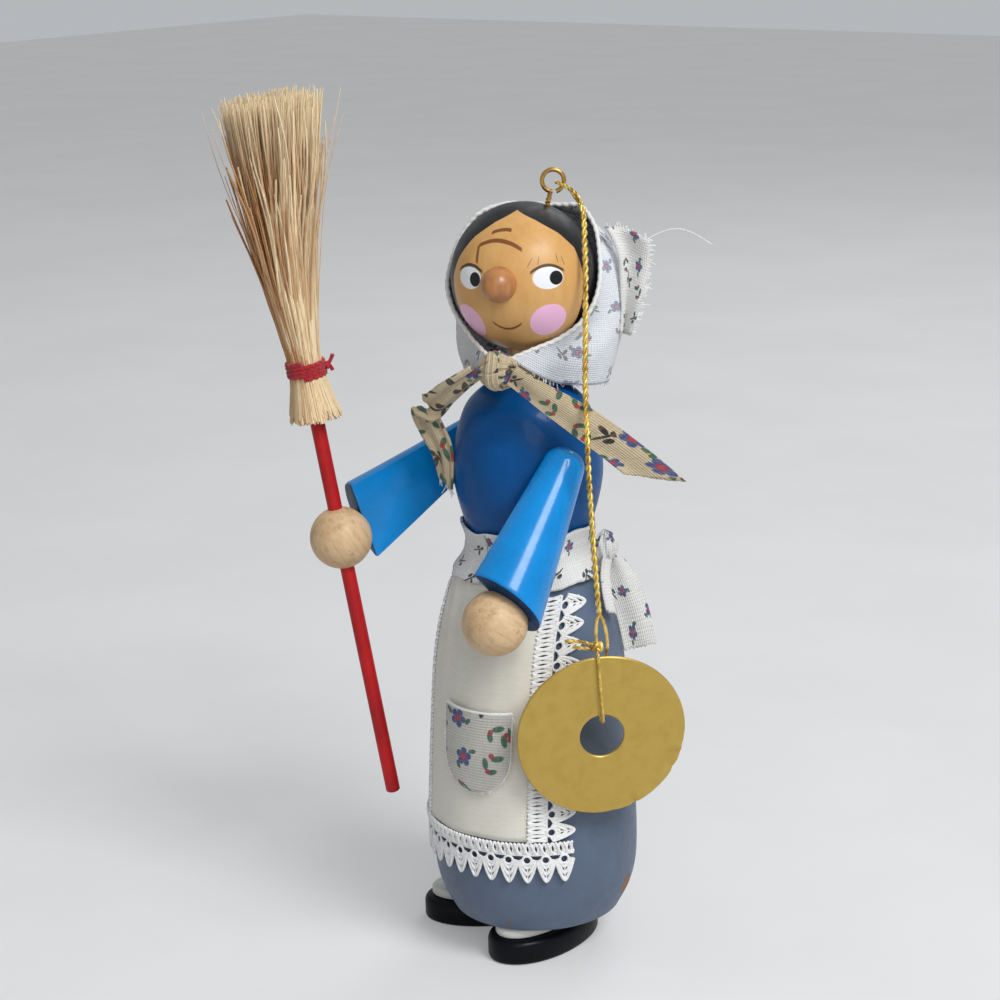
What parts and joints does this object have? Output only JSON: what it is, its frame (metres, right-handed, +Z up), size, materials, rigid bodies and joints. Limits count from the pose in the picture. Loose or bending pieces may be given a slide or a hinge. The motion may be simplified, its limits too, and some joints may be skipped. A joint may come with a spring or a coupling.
{
  "type": "wooden folk figurine",
  "caption": "Hanging wooden folk figurine: a kerchiefed woman with lace-edged apron and upright straw broom, arms that turn on pegs, a screw eye, a twisted cord and a round tag.",
  "frame": {"origin": "on the floor under the turning axis of skirt, torso and head, which lies within the left shoe's sole", "axes": "+Z up, -Y to the figure's front, +X to the figure's left"},
  "size_m": [0.0573, 0.0396, 0.1199],
  "materials": {
    "grey_paint": "satin blue-grey paint on turned wood",
    "blue_paint": "glossy blue paint on turned wood",
    "sleeve_paint": "glossy bright blue paint on turned wood",
    "head_wood": "honey varnish with a painted face and hair",
    "nose_wood": "darker honey varnish",
    "pale_wood": "bare pale beech",
    "black_paint": "glossy black paint with small chips",
    "white_paint": "white paint",
    "red_paint": "red stained dowel",
    "red_yarn": "twisted red yarn",
    "straw": "dry broom straw",
    "print_cloth": "off-white cotton with a small scattered sprig print",
    "apron_cloth": "ivory cotton",
    "lace": "white scalloped lace",
    "brass": "worn brass wire",
    "gold_cord": "twisted metallic gold cord",
    "gold_card": "gold foil on card, worn edge"
  },
  "bodies": {
    "figure": {"left_shoe": "black_paint", "right_shoe": "black_paint", "left_sock": "white_paint", "right_sock": "white_paint", "left_foot_peg": "pale_wood", "right_foot_peg": "pale_wood", "skirt_body": "grey_paint", "torso": "blue_paint", "waist_dowel": "pale_wood", "neck_dowel": "head_wood", "left_shoulder_peg": "pale_wood", "right_shoulder_peg": "pale_wood", "head_ball": "head_wood", "nose_peg": "nose_wood", "kerchief_hood": "print_cloth", "kerchief_knot": "print_cloth", "kerchief_long_tail": "print_cloth", "kerchief_short_tail": "print_cloth", "kerchief_corner": "print_cloth", "screw_eye": "brass", "apron_panel": "apron_cloth", "apron_lace_left": "lace", "apron_lace_right": "lace", "apron_lace_hem": "lace", "apron_pocket": "print_cloth", "apron_waistband": "print_cloth", "apron_tie_knot": "print_cloth", "apron_tie_tail": "print_cloth", "apron_tie_end": "print_cloth", "hanging_cord": "gold_cord", "cord_eye_loop": "gold_cord", "cord_knot": "gold_cord"},
    "left_arm": {"left_sleeve": "sleeve_paint", "left_wrist_peg": "pale_wood", "left_hand": "pale_wood"},
    "right_arm": {"right_sleeve": "sleeve_paint", "right_wrist_peg": "pale_wood", "right_hand": "pale_wood"},
    "broom": {"broom_handle": "red_paint", "broom_fibres": "straw", "broom_binding": "red_yarn"},
    "tag": {"tag_disc": "gold_card", "tag_thread": "gold_cord"}
  },
  "joints": [
    {"name": "left_shoulder", "type": "hinge", "parent": "figure", "child": "left_arm", "pos_m": [0.0102, -0.00531, 0.0707], "axis": [0.9397, -0.342, 0], "range_deg": [-85, 10]},
    {"name": "right_shoulder", "type": "hinge", "parent": "figure", "child": "right_arm", "pos_m": [-0.01123, 0.00249, 0.0707], "axis": [0.9397, -0.342, 0], "range_deg": [-85, 4]},
    {"name": "broom_slide", "type": "slide", "parent": "right_arm", "child": "broom", "axis": [-0.1149, -0.1038, 0.9879], "range_m": [-0.0095, 0.03]},
    {"name": "tag_swing", "type": "hinge", "parent": "figure", "child": "tag", "pos_m": [0.01805, -0.0075, 0.0481], "axis": [0.6428, 0.766, 0], "range_deg": [-60, 3]}
  ]
}
